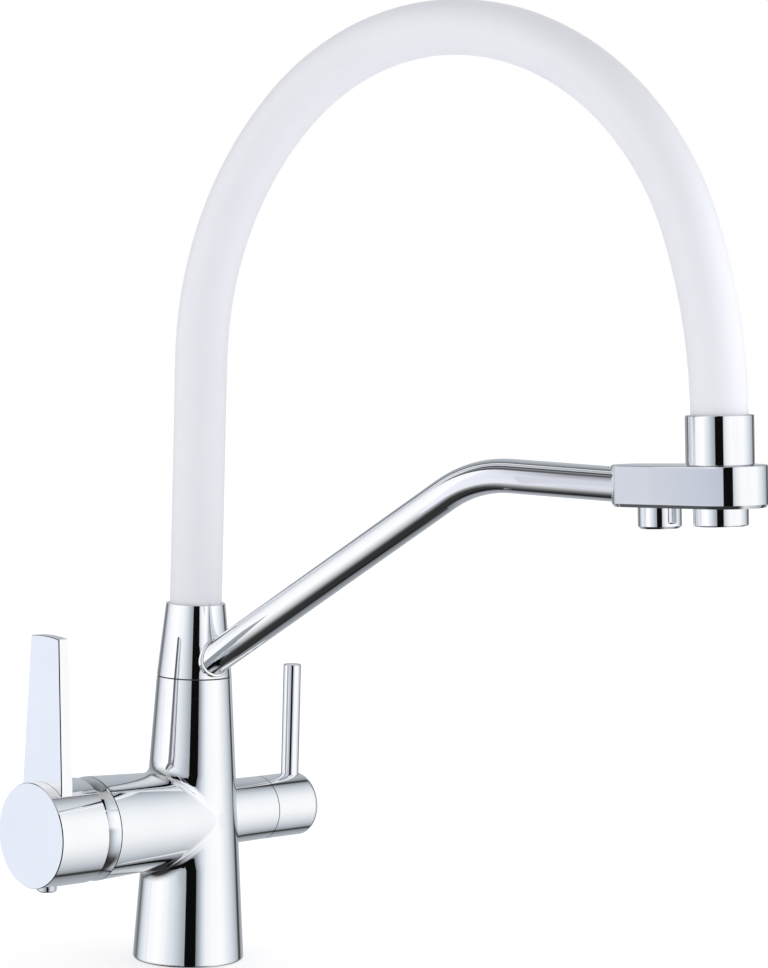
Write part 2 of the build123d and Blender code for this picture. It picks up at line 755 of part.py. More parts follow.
# Filter handle: hub, rod and set screw
with BuildPart() as filter_hub:
    with BuildSketch(Plane.YZ.offset(filter_len + free_gap)):
        with Locations((0, hub_z)):
            Circle(filter_hub_r)
    extrude(amount=filter_hub_end - filter_len - free_gap)
    fillet(filter_hub.edges().sort_by(Axis.X)[-1], filter_hub_round)
    with BuildSketch(Plane.YZ.offset(filter_len + free_gap)):
        with Locations((0, hub_z)):
            Circle(filter_hub_r - filter_hub_skin)
    extrude(amount=filter_hub_wall - filter_len - free_gap, mode=Mode.SUBTRACT)
    with BuildSketch(Plane.YZ.offset(filter_hub_wall)):
        with Locations((0, hub_z)):
            Circle(spindle_r + fit_gap)
    extrude(amount=spindle_end - filter_hub_wall, mode=Mode.SUBTRACT)
    with BuildSketch(Plane.XY.offset(hub_z + rod_root_z)):
        with Locations((rod_dist, 0)):
            Circle(rod_r + fit_gap)
    extrude(amount=filter_hub_r, mode=Mode.SUBTRACT)
    with BuildSketch(Plane.XY.offset(hub_z - filter_hub_r)):
        with Locations((filter_screw_dist, 0)):
            Circle(filter_screw_r + fit_gap)
    extrude(amount=filter_hub_r, mode=Mode.SUBTRACT)
filter_hub.part.label = "filter_hub"
export_step(filter_hub.part, "parts/filter_hub.step")

with BuildPart() as filter_rod:
    with BuildSketch(Plane.XY.offset(hub_z + rod_root_z)):
        with Locations((rod_dist, 0)):
            Circle(rod_r)
    extrude(amount=rod_top - rod_root_z)
    chamfer(filter_rod.edges().sort_by(Axis.Z)[-1], rod_edge)
filter_rod.part.label = "filter_rod"
export_step(filter_rod.part, "parts/filter_rod.step")

with BuildPart() as filter_set_screw:
    with BuildSketch(Plane.XY.offset(hub_z - filter_hub_r + filter_screw_r)):
        with Locations((filter_screw_dist, 0)):
            Circle(filter_screw_r)
    extrude(amount=filter_hub_r - filter_screw_r - spindle_r - fit_gap)
    with BuildSketch(Plane.XY.offset(hub_z - filter_hub_r + filter_screw_r)):
        with Locations((filter_screw_dist, 0)):
            RegularPolygon(filter_screw_r / 2, 6)
    extrude(amount=filter_screw_r, mode=Mode.SUBTRACT)
filter_set_screw.part.label = "filter_set_screw"
export_step(filter_set_screw.part, "parts/filter_set_screw.step")

# Arm: bent tube whose foot is saddled to the collar's core
with BuildPart() as spout_arm:
    with BuildLine(route_plane) as arm_route:
        FilletPolyline((0, arm_foot_z), (arm_knee, arm_z), (arm_end_u, arm_z), radius=arm_bend_r)
    with BuildSketch(arm_plane):
        Circle(arm_r)
        Circle(arm_r - arm_wall, mode=Mode.SUBTRACT)
    sweep(path=arm_route.line)
    arm_full = spout_arm.part.volume
    with BuildSketch(Plane.XY.offset(slip_top)):
        Circle(arm_seat_r)
    extrude(amount=collar_h, mode=Mode.SUBTRACT)
    with BuildSketch(Plane.XY.offset(slip_top + arm_floor)):
        Circle(seam_r)
    extrude(amount=-seam_r, mode=Mode.SUBTRACT)
spout_arm.part.label = "spout_arm"
export_step(spout_arm.part, "parts/spout_arm.step")
arm_area = pi * (arm_r**2 - (arm_r - arm_wall) ** 2)
arm_length = sum(edge.length for edge in arm_route.edges())
print("arm volume", round(arm_full, 1), "section x length", round(arm_area * arm_length, 1))

# Collar: cone that turns on the post, with a raised pad round the arm's foot
with BuildPart() as arm_pocket:
    with BuildSketch(arm_plane):
        Circle(arm_r + fit_gap)
    extrude(amount=2 * seam_r)
    with BuildSketch(Plane.XY.offset(slip_top)):
        Circle(arm_seat_r)
    extrude(amount=collar_h, mode=Mode.SUBTRACT)
    with BuildSketch(Plane.XY.offset(slip_top + arm_floor)):
        Circle(2 * seam_r)
    extrude(amount=-seam_r, mode=Mode.SUBTRACT)

with BuildPart() as swivel_collar:
    with BuildSketch(Plane.XZ):
        with BuildLine():
            Polyline(
                (0, slip_top), (seam_r + pad_h, slip_top),
                (rim_r + pad_h, collar_top), (0, collar_top), close=True,
            )
        make_face()
    revolve(axis=Axis.Z)
    with BuildSketch(arm_plane):
        Circle(pad_r)
    extrude(amount=2 * seam_r, mode=Mode.INTERSECT)
    fillet(swivel_collar.edges().filter_by(GeomType.BSPLINE), pad_round)
    with BuildSketch(Plane.XZ):
        with BuildLine():
            Polyline((0, slip_top), (seam_r, slip_top), (rim_r, collar_top), (0, collar_top), close=True)
        make_face()
    revolve(axis=Axis.Z)
    with BuildSketch(Plane.XY.offset(slip_top)):
        Circle(post_r + run_gap)
    extrude(amount=collar_h, mode=Mode.SUBTRACT)
    with BuildSketch(Plane.XY.offset(seam_z + clip_low - free_gap)):
        Circle(hose_socket_r)
    extrude(amount=collar_top - seam_z - clip_low + free_gap, mode=Mode.SUBTRACT)
    add(arm_pocket.part, mode=Mode.SUBTRACT)
    with BuildSketch(Plane(origin=(0, 0, arm_port_z), z_dir=(s_x, s_y, 0))):
        Circle(channel_r)
    extrude(amount=seam_r, mode=Mode.SUBTRACT)
swivel_collar.part.label = "swivel_collar"
export_step(swivel_collar.part, "parts/swivel_collar.step")

# Head block: tapered plan with round ends
block_taper = asin((block_far_r - block_near_r) / (block_far_u - block_near_u))
near_u = block_near_u - block_near_r * sin(block_taper)
near_v = block_near_r * cos(block_taper)
far_u = block_far_u - block_far_r * sin(block_taper)
far_v = block_far_r * cos(block_taper)
aerator_seat = block_bottom + aerator_stub + washer_t
nozzle_seat = block_bottom + nozzle_stub + washer_t
nipple_seat = block_top + ferrule_floor
nipple_low = nipple_seat - nipple_plug
arm_end = (foot_x + a_x * arm_end_u, foot_y + a_y * arm_end_u, arm_z)
with BuildPart() as head_block:
    with BuildSketch(plan(block_bottom)):
        with BuildLine():
            Line((near_u, near_v), (far_u, far_v))
            ThreePointArc((far_u, far_v), (block_far_u + block_far_r, 0), (far_u, -far_v))
            Line((far_u, -far_v), (near_u, -near_v))
            ThreePointArc((near_u, -near_v), (block_near_u - block_near_r, 0), (near_u, near_v))
        make_face()
    extrude(amount=block_h)
    fillet(head_block.edges().group_by(head_axis)[-1], block_edge)
    block_base = head_block.faces().sort_by(head_axis)[0]
    chamfer(block_base.edges(), block_low_run, block_low_rise, reference=block_base)
    with BuildSketch(Plane(origin=arm_end, z_dir=(-a_x, -a_y, 0))):
        Circle(arm_r + fit_gap)
    extrude(amount=2 * arm_socket, mode=Mode.SUBTRACT)
    with BuildSketch(Plane(origin=arm_end, z_dir=(a_x, a_y, 0))):
        Circle(channel_r)
    extrude(amount=nozzle_u - arm_end_u + channel_r, mode=Mode.SUBTRACT)
    with BuildSketch(plan(block_bottom)):
        with Locations((nozzle_u, 0)):
            Circle(nozzle_way_r)
    extrude(amount=arm_z - block_bottom, mode=Mode.SUBTRACT)
    with BuildSketch(plan(block_bottom)):
        with Locations((nozzle_u, 0)):
            Circle(nozzle_stub_r + fit_gap)
    extrude(amount=nozzle_seat - block_bottom, mode=Mode.SUBTRACT)
    with BuildSketch(plan(block_bottom)):
        with Locations((arm_run, 0)):
            Circle(aerator_stub_r + fit_gap)
    extrude(amount=aerator_seat - block_bottom, mode=Mode.SUBTRACT)
    with BuildSketch(plan(aerator_seat)):
        with Locations((arm_run, 0)):
            Circle(nipple_plug_r - nipple_wall)
    extrude(amount=nipple_low - aerator_seat, mode=Mode.SUBTRACT)
    with BuildSketch(plan(nipple_low)):
        with Locations((arm_run, 0)):
            Circle(nipple_plug_r + fit_gap)
    extrude(amount=block_top - nipple_low, mode=Mode.SUBTRACT)
head_block.part.label = "head_block"
export_step(head_block.part, "parts/head_block.step")

with BuildPart() as hose_ferrule:
    with BuildSketch(plan(block_top)):
        with Locations((arm_run, 0)):
            Circle(ferrule_r)
            Circle(nipple_plug_r + fit_gap, mode=Mode.SUBTRACT)
    extrude(amount=ferrule_h)
    with BuildSketch(plan(nipple_seat)):
        with Locations((arm_run, 0)):
            Circle(hose_socket_r)
    extrude(amount=ferrule_h - ferrule_floor, mode=Mode.SUBTRACT)
    for rim in (0, -1):
        fillet(hose_ferrule.edges().group_by(head_axis)[rim].sort_by(SortBy.RADIUS)[-1], ferrule_edge)
hose_ferrule.part.label = "hose_ferrule"
export_step(hose_ferrule.part, "parts/hose_ferrule.step")

# Hose: straight rise, arcs over the crown and a short drop into the ferrule
hose_low = post_end + free_gap + nipple_flange_t
hose_high = nipple_seat + nipple_flange_t
left_u = hose_left_r1 * (1 - cos(radians(hose_left_turn))) + hose_left_r2 * cos(radians(hose_left_turn))
left_h = hose_left_r1 * sin(radians(hose_left_turn)) + hose_left_r2 * (1 - sin(radians(hose_left_turn)))
right_sin = sin(radians(hose_right_turn))
right_cos = cos(radians(hose_right_turn))
drop_u, drop_z = outlet_point(block_top + ferrule_h + hose_drop)
hose_right_r1 = (drop_u - left_u - hose_right_r2 * (tilt_cos - right_cos)) / right_cos
crown_z = drop_z + hose_right_r1 * (1 - right_sin) + hose_right_r2 * (right_sin - tilt_sin)
rise_z = crown_z - left_h
arc_a = turn((0, rise_z), 90, hose_left_r1, hose_left_turn)
arc_b = turn(arc_a[1], 90 - hose_left_turn, hose_left_r2, 90 - hose_left_turn)
arc_c = turn(arc_b[1], 0, hose_right_r1, 90 - hose_right_turn)
arc_d = turn(arc_c[1], hose_right_turn - 90, hose_right_r2, hose_right_turn - head_tilt)

with BuildPart() as hose_sleeve:
    with BuildLine(spout_plane) as hose_route:
        Line((0, hose_low), (0, rise_z))
        ThreePointArc((0, rise_z), arc_a[0], arc_a[1])
        ThreePointArc(arc_a[1], arc_b[0], arc_b[1])
        ThreePointArc(arc_b[1], arc_c[0], arc_c[1])
        ThreePointArc(arc_c[1], arc_d[0], arc_d[1])
        Line(arc_d[1], outlet_point(hose_high + run_gap))
    with BuildSketch(Plane.XY.offset(hose_low)):
        Circle(hose_r)
        Circle(hose_r - hose_wall, mode=Mode.SUBTRACT)
    sweep(path=hose_route.line)
hose_sleeve.part.label = "hose_sleeve"
export_step(hose_sleeve.part, "parts/hose_sleeve.step")

with BuildPart() as hose_liner:
    with BuildSketch(Plane.XY.offset(hose_low)):
        Circle(liner_r)
        Circle(liner_in_r, mode=Mode.SUBTRACT)
    sweep(path=hose_route.line)
hose_liner.part.label = "hose_liner"
export_step(hose_liner.part, "parts/hose_liner.step")
hose_length = sum(edge.length for edge in hose_route.edges())
sleeve_area = pi * (hose_r**2 - (hose_r - hose_wall) ** 2)
liner_area = pi * (liner_r**2 - liner_in_r**2)
print("hose length", round(hose_length, 1), "crown at", round(crown_z + hose_r, 1))
print("hose radii", hose_left_r1, hose_left_r2, round(hose_right_r1, 1), hose_right_r2)
print("sleeve volume", round(hose_sleeve.part.volume), "section x length", round(sleeve_area * hose_length))
print("liner volume", round(hose_liner.part.volume), "section x length", round(liner_area * hose_length))

# Nipples: flange under the hose, barb in the liner and a plug in the post or the head
with BuildPart() as nipple_lower:
    with BuildSketch(Plane.XY.offset(post_end + free_gap)):
        Circle(hose_r - fit_gap)
    extrude(amount=nipple_flange_t)
    with BuildSketch(Plane.XY.offset(hose_low)):
        Circle(liner_in_r - fit_gap)
    extrude(amount=nipple_barb)
    with BuildSketch(Plane.XY.offset(post_end + free_gap)):
        Circle(post_bore_r - run_gap)
    extrude(amount=-nipple_foot)
    with BuildSketch(Plane.XY.offset(post_end + free_gap - nipple_foot / 2 - nipple_ring_t / 2 - fit_gap)):
        Circle(post_bore_r)
        Circle(post_bore_r - nipple_ring_t - free_gap - fit_gap, mode=Mode.SUBTRACT)
    extrude(amount=nipple_ring_t + 2 * fit_gap, mode=Mode.SUBTRACT)
    with BuildSketch(Plane.XY.offset(post_end + free_gap - nipple_foot)):
        Circle(liner_in_r - fit_gap - 2 * nipple_wall)
    extrude(amount=nipple_foot + nipple_flange_t + nipple_barb, mode=Mode.SUBTRACT)
nipple_lower.part.label = "nipple_lower"
export_step(nipple_lower.part, "parts/nipple_lower.step")

with BuildPart() as nipple_upper:
    with BuildSketch(plan(nipple_seat)):
        with Locations((arm_run, 0)):
            Circle(hose_r - fit_gap)
    extrude(amount=nipple_flange_t)
    with BuildSketch(plan(hose_high)):
        with Locations((arm_run, 0)):
            Circle(liner_in_r - fit_gap)
    extrude(amount=nipple_barb)
    with BuildSketch(plan(nipple_seat)):
        with Locations((arm_run, 0)):
            Circle(nipple_plug_r)
    extrude(amount=-nipple_plug)
    with BuildSketch(plan(nipple_low + nipple_plug / 3 - nipple_ring_t / 2 - fit_gap)):
        with Locations((arm_run, 0)):
            Circle(nipple_plug_r)
            Circle(nipple_plug_r - nipple_ring_t - fit_gap, mode=Mode.SUBTRACT)
    extrude(amount=nipple_ring_t + 2 * fit_gap, mode=Mode.SUBTRACT)
    with BuildSketch(plan(nipple_low)):
        with Locations((arm_run, 0)):
            Circle(liner_in_r - fit_gap - nipple_wall)
    extrude(amount=nipple_plug + nipple_flange_t + nipple_barb, mode=Mode.SUBTRACT)
nipple_upper.part.label = "nipple_upper"
export_step(nipple_upper.part, "parts/nipple_upper.step")

with BuildPart() as nipple_o_rings:
    with BuildSketch(Plane.XZ):
        with Locations((post_bore_r - free_gap - nipple_ring_t / 2, post_end + free_gap - nipple_foot / 2)):
            Circle(nipple_ring_t / 2)
    revolve(axis=Axis.Z)
    with BuildSketch(head_plane):
        with Locations((arm_run + nipple_plug_r - nipple_ring_t / 2, nipple_low + nipple_plug / 3)):
            Circle(nipple_ring_t / 2)
    revolve(axis=head_axis)
nipple_o_rings.part.label = "nipple_o_rings"
export_step(nipple_o_rings.part, "parts/nipple_o_rings.step")

# Outlets
with BuildPart() as filter_nozzle:
    with BuildSketch(plan(block_bottom)):
        with Locations((nozzle_u, 0)):
            Circle(nozzle_r)
    extrude(amount=-nozzle_h)
    chamfer(filter_nozzle.edges().sort_by(head_axis)[0], nozzle_edge)
    with BuildSketch(plan(block_bottom)):
        with Locations((nozzle_u, 0)):
            Circle(nozzle_stub_r)
    extrude(amount=nozzle_stub)
    with BuildSketch(plan(block_bottom - nozzle_h + lip)):
        with Locations((nozzle_u, 0)):
            Circle(nozzle_bore_r)
    extrude(amount=nozzle_h + nozzle_stub - lip, mode=Mode.SUBTRACT)
    with BuildSketch(plan(block_bottom - nozzle_h)):
        with Locations((nozzle_u, 0)):
            Circle(nozzle_bore_r - lip)
    extrude(amount=lip, mode=Mode.SUBTRACT)
filter_nozzle.part.label = "filter_nozzle"
export_step(filter_nozzle.part, "parts/filter_nozzle.step")

with BuildPart() as filter_nozzle_insert:
    with BuildSketch(plan(block_bottom - nozzle_h + lip)):
        with Locations((nozzle_u, 0)):
            Circle(nozzle_bore_r - fit_gap)
            with PolarLocations(nozzle_bore_r / 2, 6):
                Circle(insert_hole_r, mode=Mode.SUBTRACT)
            Circle(insert_hole_r, mode=Mode.SUBTRACT)
    extrude(amount=insert_t)
filter_nozzle_insert.part.label = "filter_nozzle_insert"
export_step(filter_nozzle_insert.part, "parts/filter_nozzle_insert.step")

with BuildPart() as filter_nozzle_washer:
    with BuildSketch(plan(nozzle_seat - washer_t)):
        with Locations((nozzle_u, 0)):
            Circle(nozzle_stub_r)
            Circle(nozzle_bore_r, mode=Mode.SUBTRACT)
    extrude(amount=washer_t)
filter_nozzle_washer.part.label = "filter_nozzle_washer"
export_step(filter_nozzle_washer.part, "parts/filter_nozzle_washer.step")

with BuildPart() as aerator_housing:
    with BuildSketch(plan(block_bottom)):
        with Locations((arm_run, 0)):
            Circle(aerator_r)
    extrude(amount=-aerator_h)
    chamfer(aerator_housing.edges().sort_by(head_axis)[0], aerator_edge)
    with BuildSketch(plan(block_bottom)):
        with Locations((arm_run, 0)):
            Circle(aerator_stub_r)
    extrude(amount=aerator_stub)
    with BuildSketch(plan(block_bottom - aerator_h + lip)):
        with Locations((arm_run, 0)):
            Circle(aerator_bore_r)
    extrude(amount=aerator_h + aerator_stub - lip, mode=Mode.SUBTRACT)
    with BuildSketch(plan(block_bottom - aerator_h)):
        with Locations((arm_run, 0)):
            Circle(aerator_bore_r - lip)
    extrude(amount=lip, mode=Mode.SUBTRACT)
aerator_housing.part.label = "aerator_housing"
export_step(aerator_housing.part, "parts/aerator_housing.step")

with BuildPart() as aerator_insert:
    with BuildSketch(plan(block_bottom - aerator_h + lip)):
        with Locations((arm_run, 0)):
            Circle(aerator_bore_r - fit_gap)
            with PolarLocations(insert_ring_in, 6):
                Circle(insert_hole_r, mode=Mode.SUBTRACT)
            with PolarLocations(insert_ring_out, 12):
                Circle(insert_hole_r, mode=Mode.SUBTRACT)
            Circle(insert_hole_r, mode=Mode.SUBTRACT)
    extrude(amount=insert_t)
aerator_insert.part.label = "aerator_insert"
export_step(aerator_insert.part, "parts/aerator_insert.step")

with BuildPart() as aerator_washer:
    with BuildSketch(plan(aerator_seat - washer_t)):
        with Locations((arm_run, 0)):
            Circle(aerator_stub_r)
            Circle(aerator_bore_r - lip, mode=Mode.SUBTRACT)
    extrude(amount=washer_t)
aerator_washer.part.label = "aerator_washer"
export_step(aerator_washer.part, "parts/aerator_washer.step")
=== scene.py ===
import json
import math
import bpy
import numpy as np
from mathutils import Matrix, Vector

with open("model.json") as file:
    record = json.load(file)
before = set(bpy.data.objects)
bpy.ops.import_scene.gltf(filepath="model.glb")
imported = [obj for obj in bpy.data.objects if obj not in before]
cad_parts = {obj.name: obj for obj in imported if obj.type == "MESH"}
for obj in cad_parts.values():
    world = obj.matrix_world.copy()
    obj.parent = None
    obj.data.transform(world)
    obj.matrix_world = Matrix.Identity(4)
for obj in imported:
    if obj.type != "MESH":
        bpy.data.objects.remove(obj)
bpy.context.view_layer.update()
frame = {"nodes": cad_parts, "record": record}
nodes = frame["nodes"]
print("frame loaded:", len(nodes), "nodes")

scene = bpy.context.scene
scene.view_settings.view_transform = "Standard"

# Camera, fitted to the outlines of the base, hub, ferrule and hose
cameraSetup = {
    "frameHeight": 968,
    "focalPx": 3500.0,
    "distance": 1.57574,
    "azimuth": -39.438,
    "height": 0.340816,
    "yaw": 3.0427,
    "pitch": 4.4515,
    "roll": 1.503,
    "sensor": 36.0,
    "clip": (0.05, 50.0),
}


def turned(one, two, angle):
    # both vectors turned in their plane, the first towards the second
    cos, sin = math.cos(angle), math.sin(angle)
    return one * cos + two * sin, two * cos - one * sin


def addCamera(setup):
    # stands at the azimuth, faces the column, then turns by yaw, pitch and roll
    az, yaw, pitch, roll = (math.radians(setup[k]) for k in ("azimuth", "yaw", "pitch", "roll"))
    side, depth = math.sin(az) * setup["distance"], -math.cos(az) * setup["distance"]
    ahead = Vector((-math.sin(az), math.cos(az), 0))
    right = Vector((math.cos(az), math.sin(az), 0))
    up = Vector((0, 0, 1))
    ahead, right = turned(ahead, right, yaw)
    ahead, up = turned(ahead, up, -pitch)
    right, up = turned(right, up, roll)
    data = bpy.data.cameras.new("photoCamera")
    data.sensor_fit = "VERTICAL"
    data.sensor_height = setup["sensor"]
    data.lens = setup["sensor"] * setup["focalPx"] / setup["frameHeight"]
    data.clip_start, data.clip_end = setup["clip"]
    camera = bpy.data.objects.new("photoCamera", data)
    facing = Matrix((right, up, -ahead)).transposed().to_4x4()
    camera.matrix_world = Matrix.Translation((side, depth, setup["height"])) @ facing
    scene.collection.objects.link(camera)
    scene.camera = camera


addCamera(cameraSetup)
viewTurn = math.radians(cameraSetup["azimuth"])
rightward = np.array((math.cos(viewTurn), math.sin(viewTurn), 0))
frontward = np.array((math.sin(viewTurn), -math.cos(viewTurn), 0))
upward = np.array((0, 0, 1))
print("camera set")


def newNode(tree, kind, place, **settings):
    made = tree.nodes.new(kind)
    made.location = place
    for key, value in settings.items():
        setattr(made, key, value)
    return made


def cooled(greys, gain=1.0, coolness=0.0):
    # greys times the gain, with the half greys turned a little blue
    greys = np.asarray(greys, dtype=float)[..., None]
    tint = coolness * np.clip(2 * greys * (1 - greys), 0, None)
    return gain * greys * (1 + tint * np.array((-1, 0, 1)))


def setRamp(ramp, stops, limit, gain=1.0, coolness=0.0):
    # stops are a value from minus to plus the limit, and its grey
    elements = ramp.color_ramp.elements
    while len(elements) < len(stops):
        elements.new(0.5)
    values, greys = np.transpose(stops)
    for element, value, colour in zip(elements, values, cooled(greys, gain, coolness)):
        element.position = (value + limit) / (2 * limit)
        element.color = (*colour, 1)


def mapRange(tree, place, source, fromRange, toRange, blend="LINEAR"):
    made = newNode(tree, "ShaderNodeMapRange", place, interpolation_type=blend)
    for socket, value in zip(("From Min", "From Max", "To Min", "To Max"), (*fromRange, *toRange)):
        made.inputs[socket].default_value = value
    tree.links.new(source, made.inputs["Value"])
    return made.outputs["Result"]


# Studio: white tent that mirrors see as greys by direction, and a pale floor
studio = {
    # degrees to the right of the camera as seen from the object, and the grey that mirrors see there
    "around": (
        (-180, 0.51), (-165, 0.42), (-150, 0.3), (-142, 0.16), (-136, 0.18), (-130, 0.42), (-120, 0.7),
        (-108, 0.86), (-95, 0.97), (-70, 1.04), (-50, 0.93), (0, 0.93), (50, 0.98), (70, 1.02), (80, 0.98),
        (92, 0.86), (105, 0.72), (115, 0.58), (123, 0.46), (128, 0.34), (132, 0.06), (139, 0.05), (145, 0.32),
        (160, 0.46), (180, 0.51),
    ),
    # degrees above the level, and the share of that grey, on the near left and on the far right of the object
    "riseNear": (
        (-90, 0.035), (-66, 0.035), (-57, 0.075), (-50, 0.25), (-45, 0.42), (-38, 0.6), (-30, 0.75),
        (-20, 0.92), (-10, 1.0), (32, 1.0), (45, 0.8), (60, 0.6), (90, 0.4),
    ),
    "riseFar": (
        (-90, 0.6), (-60, 0.74), (-45, 0.82), (-35, 0.88), (-15, 0.98), (0, 1.0), (30, 1.0), (50, 0.9),
        (65, 0.6), (90, 0.4),
    ),
    # degrees to the right of the camera where the near side is nearest, and the lean over which it gives way
    "nearSide": -45.0,
    "nearBlend": (-0.3, -0.05),
    "gain": 1.08,
    "coolness": 0.14,
    # the same for the light that matt surfaces get
    "soft": ((-180, 1.08), (-100, 1.32), (-45, 1.06), (0, 0.96), (45, 1.04), (100, 1.36), (180, 1.08)),
    "softRise": ((-90, 1.0), (10, 1.0), (45, 0.68), (90, 0.4)),
    "floorSize": 8.0,
    "floorColour": (0.8, 0.8, 0.81),
    "floorRoughness": 0.9,
    "floorGlow": 0.42,
}


def buildWorld(setup):
    # mirrors see a grey by compass angle times a share by climb; matt surfaces get a softer light made in the
    # same way; the camera sees white
    world = bpy.data.worlds.new("studioWorld")
    scene.world = world
    world.use_nodes = True
    tree = world.node_tree
    tree.nodes.clear()
    link = tree.links.new
    coords = newNode(tree, "ShaderNodeTexCoord", (-1400, 0))
    turn = newNode(tree, "ShaderNodeVectorRotate", (-1200, 0), rotation_type="Z_AXIS")
    turn.inputs["Angle"].default_value = -viewTurn
    split = newNode(tree, "ShaderNodeSeparateXYZ", (-1000, 0))
    link(coords.outputs["Generated"], turn.inputs["Vector"])
    link(turn.outputs["Vector"], split.inputs[0])
    front = newNode(tree, "ShaderNodeMath", (-820, 120), operation="MULTIPLY")
    front.inputs[1].default_value = -1.0
    link(split.outputs["Y"], front.inputs[0])
    compass = newNode(tree, "ShaderNodeMath", (-640, 120), operation="ARCTAN2")
    link(split.outputs["X"], compass.inputs[0])
    link(front.outputs[0], compass.inputs[1])
    circle = mapRange(tree, (-460, 160), compass.outputs[0], (-math.pi, math.pi), (0, 1))
    around = newNode(tree, "ShaderNodeValToRGB", (-280, 160))
    setRamp(around, setup["around"], 180, setup["gain"], setup["coolness"])
    link(circle, around.inputs["Fac"])
    soft = newNode(tree, "ShaderNodeValToRGB", (-280, 420))
    setRamp(soft, setup["soft"], 180)
    link(circle, soft.inputs["Fac"])
    climb = newNode(tree, "ShaderNodeMath", (-820, -160), operation="ARCSINE")
    link(split.outputs["Z"], climb.inputs[0])
    height = mapRange(tree, (-640, -160), climb.outputs[0], (-math.pi / 2, math.pi / 2), (0, 1))
    shares = {}
    for key, low in (("riseFar", -360), ("riseNear", -120), ("softRise", 660)):
        ramp = newNode(tree, "ShaderNodeValToRGB", (-280, low))
        setRamp(ramp, setup[key], 90)
        link(height, ramp.inputs["Fac"])
        shares[key] = ramp.outputs["Color"]
    side = math.radians(setup["nearSide"])
    lean = newNode(tree, "ShaderNodeVectorMath", (-640, -560), operation="DOT_PRODUCT")
    lean.inputs[1].default_value = (math.sin(side), -math.cos(side), 0)
    link(turn.outputs["Vector"], lean.inputs[0])
    near = mapRange(tree, (-460, -560), lean.outputs["Value"], setup["nearBlend"], (0, 1), "SMOOTHSTEP")
    rise = newNode(tree, "ShaderNodeMix", (20, -200), data_type="RGBA")
    link(near, rise.inputs["Factor"])
    link(shares["riseFar"], rise.inputs["A"])
    link(shares["riseNear"], rise.inputs["B"])
    room = newNode(tree, "ShaderNodeBackground", (220, 0))
    even = newNode(tree, "ShaderNodeBackground", (220, -160))
    for light, grey, share in ((room, around, rise.outputs["Result"]), (even, soft, shares["softRise"])):
        both = newNode(tree, "ShaderNodeMix", (40, light.location.y), data_type="RGBA", blend_type="MULTIPLY")
        both.inputs["Factor"].default_value = 1.0
        link(grey.outputs["Color"], both.inputs["A"])
        link(share, both.inputs["B"])
        link(both.outputs["Result"], light.inputs["Color"])
    white = newNode(tree, "ShaderNodeBackground", (220, -320))
    white.inputs["Color"].default_value = (1, 1, 1, 1)
    rays = newNode(tree, "ShaderNodeLightPath", (220, 360))
    tent = newNode(tree, "ShaderNodeMixShader", (440, 0))
    link(rays.outputs["Is Glossy Ray"], tent.inputs["Fac"])
    link(even.outputs[0], tent.inputs[1])
    link(room.outputs[0], tent.inputs[2])
    seen = newNode(tree, "ShaderNodeMixShader", (640, 0))
    link(rays.outputs["Is Camera Ray"], seen.inputs["Fac"])
    link(tent.outputs[0], seen.inputs[1])
    link(white.outputs[0], seen.inputs[2])
    out = newNode(tree, "ShaderNodeOutputWorld", (840, 0))
    link(seen.outputs[0], out.inputs["Surface"])


def stageObject(name, points, faces, material):
    mesh = bpy.data.meshes.new(name)
    mesh.from_pydata(np.asarray(points).tolist(), [], faces)
    mesh.materials.append(material)
    made = bpy.data.objects.new(name, mesh)
    scene.collection.objects.link(made)
    return made


def buildFloor(setup):
    # pale floor that shows white to the camera and keeps a faint shadow; its glow is also the soft light from
    # below, and mirrors look past it
    half = setup["floorSize"] / 2
    material = bpy.data.materials.new("paleFloor")
    material.use_nodes = True
    tree = material.node_tree
    link = tree.links.new
    shader = tree.nodes["Principled BSDF"]
    shader.inputs["Base Color"].default_value = (*setup["floorColour"], 1)
    shader.inputs["Roughness"].default_value = setup["floorRoughness"]
    shader.inputs["Specular IOR Level"].default_value = 0.0
    glow = newNode(tree, "ShaderNodeEmission", (0, -300))
    glow.inputs["Color"].default_value = (*[setup["floorGlow"]] * 3, 1)
    total = newNode(tree, "ShaderNodeAddShader", (240, 0))
    link(shader.outputs[0], total.inputs[0])
    link(glow.outputs[0], total.inputs[1])
    link(total.outputs[0], tree.nodes["Material Output"].inputs["Surface"])
    corners = ((-half, -half, 0), (half, -half, 0), (half, half, 0), (-half, half, 0))
    floor = stageObject("studioFloor", corners, [(0, 1, 2, 3)], material)
    floor.visible_glossy = False


buildWorld(studio)
buildFloor(studio)
print("studio built")


# Cards and sheets: what the object's mirrors show, and one light for the hose
def glowMaterial(name):
    material = bpy.data.materials.new(name)
    material.use_nodes = True
    tree = material.node_tree
    glow = newNode(tree, "ShaderNodeEmission", (0, -300))
    tree.links.new(glow.outputs[0], tree.nodes["Material Output"].inputs["Surface"])
    return material, glow


def addCard(name, corners, colour):
    # four corners of one colour; the camera doesn't see it, and it throws no shadow
    material, glow = glowMaterial(name + "Glow")
    glow.inputs["Color"].default_value = (*colour, 1)
    card = stageObject(name, corners, [(0, 1, 2, 3)], material)
    card.visible_camera = False
    card.visible_shadow = False
    return card


